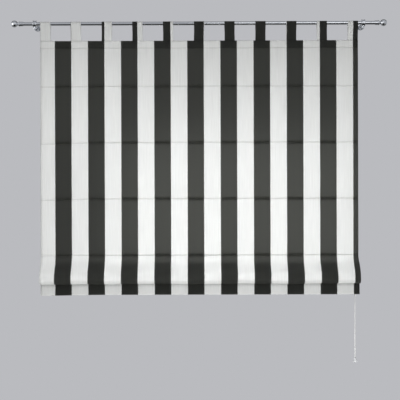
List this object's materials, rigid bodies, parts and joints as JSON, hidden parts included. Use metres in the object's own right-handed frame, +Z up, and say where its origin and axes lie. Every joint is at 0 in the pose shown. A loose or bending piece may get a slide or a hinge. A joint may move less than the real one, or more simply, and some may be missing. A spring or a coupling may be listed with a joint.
{
  "type": "roman blind",
  "caption": "Tab-top roman blind of striped cloth on a chrome rod with ball finials, drawn up in pleats by cords through rings and held by a cord lock.",
  "frame": {"origin": "on the wall plane, midway between the two brackets, level with the rod's axis: the centre of the four wall screws", "axes": "+X along the rod to the right, +Y into the wall, +Z up; the front faces -Y"},
  "size_m": [1.658, 0.1414, 1.5189],
  "materials": {
    "chromed_steel": "bright chrome plate",
    "striped_cloth": "woven cotton, black and white stripes",
    "lining_tape": "plain woven tape",
    "head_slat": "planed pine with white primer",
    "batten_rod": "drawn glass-fibre rod",
    "ring_plastic": "moulded clear-white plastic",
    "hem_alloy": "extruded flat bar",
    "cord": "braided white cord",
    "screw_eye": "zinc-plated wire",
    "lock_plastic": "moulded white plastic",
    "lock_steel": "turned steel",
    "pull_plastic": "moulded white plastic"
  },
  "bodies": {
    "frame": {"rod": "chromed_steel", "finial_left": "chromed_steel", "finial_right": "chromed_steel", "bracket_plate_left": "chromed_steel", "bracket_plate_right": "chromed_steel", "bracket_arm_left": "chromed_steel", "bracket_arm_right": "chromed_steel", "bracket_screw_left": "chromed_steel", "bracket_screw_right": "chromed_steel", "cloth_panel": "striped_cloth", "tab_1": "striped_cloth", "tab_2": "striped_cloth", "tab_3": "striped_cloth", "tab_4": "striped_cloth", "tab_5": "striped_cloth", "tab_6": "striped_cloth", "tab_7": "striped_cloth", "tab_8": "striped_cloth", "tab_9": "striped_cloth", "tab_10": "striped_cloth", "tab_11": "striped_cloth", "header_facing": "lining_tape", "head_batten": "head_slat", "lift_cord_1": "cord", "lift_cord_2": "cord", "lift_cord_3": "cord", "lift_cord_4": "cord", "cord_guide_1": "screw_eye", "cord_guide_2": "screw_eye", "cord_guide_3": "screw_eye", "cord_guide_4": "screw_eye", "cord_lock_body": "lock_plastic", "cord_lock_pin": "lock_steel"},
    "bottom": {"batten_pocket_4": "lining_tape", "batten_4": "batten_rod", "ring_row_4": "ring_plastic", "batten_pocket_5": "lining_tape", "batten_5": "batten_rod", "ring_row_5": "ring_plastic", "hem_bar": "hem_alloy", "cord_toggles": "ring_plastic"},
    "pleat_1": {"batten_pocket_1": "lining_tape", "batten_1": "batten_rod", "ring_row_1": "ring_plastic"},
    "pleat_2": {"batten_pocket_2": "lining_tape", "batten_2": "batten_rod", "ring_row_2": "ring_plastic"},
    "pleat_3": {"batten_pocket_3": "lining_tape", "batten_3": "batten_rod", "ring_row_3": "ring_plastic"},
    "pull": {"cord_joiner": "pull_plastic", "pull_cord": "cord", "acorn": "pull_plastic"},
    "lock_roller": {"cord_lock_roller": "lock_steel"}
  },
  "joints": [
    {"name": "lift", "type": "slide", "parent": "frame", "child": "bottom", "axis": [0, 0, 1], "range_m": [0, 0.82], "deforming": ["cloth_panel", "lift_cord_1", "lift_cord_2", "lift_cord_3", "lift_cord_4"]},
    {"name": "rise_1", "type": "slide", "parent": "frame", "child": "pleat_1", "axis": [0, 0, 1], "range_m": [0, 0.1513]},
    {"name": "rise_2", "type": "slide", "parent": "frame", "child": "pleat_2", "axis": [0, 0, 1], "range_m": [0, 0.3745]},
    {"name": "rise_3", "type": "slide", "parent": "frame", "child": "pleat_3", "axis": [0, 0, 1], "range_m": [0, 0.5978]},
    {"name": "draw", "type": "slide", "parent": "frame", "child": "pull", "axis": [0, 0, -1], "range_m": [0, 0.821]},
    {"name": "lock_release", "type": "slide", "parent": "frame", "child": "lock_roller", "axis": [-0.7071, 0, 0.7071], "range_m": [0, 0.004]}
  ],
  "couplings": [
    {"joint": "rise_1", "follows": "lift", "ratio": 0.18332},
    {"joint": "rise_2", "follows": "lift", "ratio": 0.45554},
    {"joint": "rise_3", "follows": "lift", "ratio": 0.72777},
    {"joint": "draw", "follows": "lift", "ratio": 1}
  ]
}
